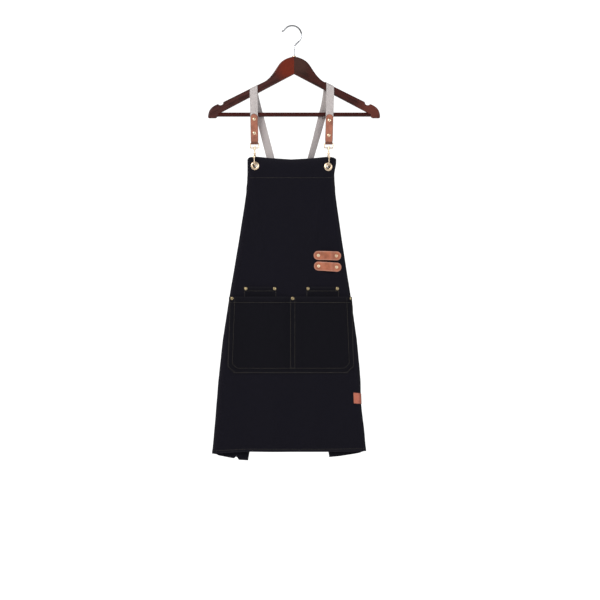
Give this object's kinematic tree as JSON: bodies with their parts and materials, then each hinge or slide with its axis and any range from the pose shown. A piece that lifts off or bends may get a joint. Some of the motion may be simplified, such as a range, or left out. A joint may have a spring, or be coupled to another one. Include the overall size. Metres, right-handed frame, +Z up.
{
  "type": "apron on hanger",
  "caption": "Cross-back work apron with pockets and leather tool loops, clipped by snap hooks to webbing straps over a wooden hanger with a swivelling wire hook.",
  "frame": {"origin": "inside top of the hook's bend, on the axis of the hook's shank, where the rail touches the wire", "axes": "+Z up along the hook's shank, -Y out of the apron's front, +X to the right of a person who looks at the front"},
  "size_m": [0.445, 0.0433, 1.103],
  "materials": {
    "chrome": "polished",
    "brass": "polished gold plate",
    "spring_steel": "plain",
    "wood_left": "red-brown gloss lacquer",
    "wood_right": "dark brown gloss lacquer",
    "bar_wood": "oxblood gloss lacquer",
    "dowel_wood": "bare",
    "webbing": "cotton webbing",
    "tab_leather": "waxed",
    "loop_leather": "waxed",
    "label_leather": "waxed",
    "cloth": "black cotton canvas"
  },
  "bodies": {
    "hook": {"hook_wire": "chrome", "hook_nut": "chrome"},
    "hanger": {"hook_bush": "brass", "hanger_arm_left": "wood_left", "hanger_arm_right": "wood_right", "crown_dowels": "dowel_wood", "trouser_bar": "bar_wood", "bar_screws": "brass", "apron_panel": "cloth", "bib_facing": "cloth", "main_pocket": "cloth", "side_label": "label_leather", "pocket_rivets": "brass", "tool_pocket_rivets": "brass", "tool_loop_rivets": "brass", "waist_rivets": "brass", "tool_loop_upper": "loop_leather", "tool_loop_lower": "loop_leather", "strap_front_left": "webbing", "strap_rear_left": "webbing", "strap_tab_left": "tab_leather", "tab_rivets_left": "brass", "clasp_loop_left": "brass", "eyelet_left": "brass", "eyelet_washer_left": "brass", "waist_patch_left": "tab_leather", "tool_pocket_left": "cloth", "strap_front_right": "webbing", "strap_rear_right": "webbing", "strap_tab_right": "tab_leather", "tab_rivets_right": "brass", "clasp_loop_right": "brass", "eyelet_right": "brass", "eyelet_washer_right": "brass", "waist_patch_right": "tab_leather", "tool_pocket_right": "cloth"},
    "clasp_left": {"snap_hook_left": "brass", "gate_pin_left": "brass"},
    "gate_left": {"snap_gate_left": "brass", "gate_spring_left": "spring_steel"},
    "clasp_right": {"snap_hook_right": "brass", "gate_pin_right": "brass"},
    "gate_right": {"snap_gate_right": "brass", "gate_spring_right": "spring_steel"}
  },
  "joints": [
    {"name": "hook_swivel", "type": "hinge", "parent": "hook", "child": "hanger", "pos_m": [0, 0, -0.08], "axis": [0, 0, 1], "continuous": true},
    {"name": "clasp_swivel_left", "type": "hinge", "parent": "hanger", "child": "clasp_left", "pos_m": [-0.10179, -0.008, -0.31551], "axis": [-0.0175, 0, 0.9998], "range_deg": [-8, 8]},
    {"name": "gate_left_opens", "type": "hinge", "parent": "clasp_left", "child": "gate_left", "pos_m": [-0.10303, -0.01582, -0.33953], "axis": [0.978, -0.2079, 0.0171], "range_deg": [0, 28], "stiffness_Nm_per_rad": 0.02, "springref_deg": -28.65},
    {"name": "clasp_swivel_right", "type": "hinge", "parent": "hanger", "child": "clasp_right", "pos_m": [0.08944, -0.008, -0.31552], "axis": [0.0262, 0, 0.9997], "range_deg": [-8, 8]},
    {"name": "gate_right_opens", "type": "hinge", "parent": "clasp_right", "child": "gate_right", "pos_m": [0.09048, -0.01582, -0.33955], "axis": [0.9778, 0.2079, -0.0256], "range_deg": [0, 28], "stiffness_Nm_per_rad": 0.02, "springref_deg": -28.65}
  ]
}
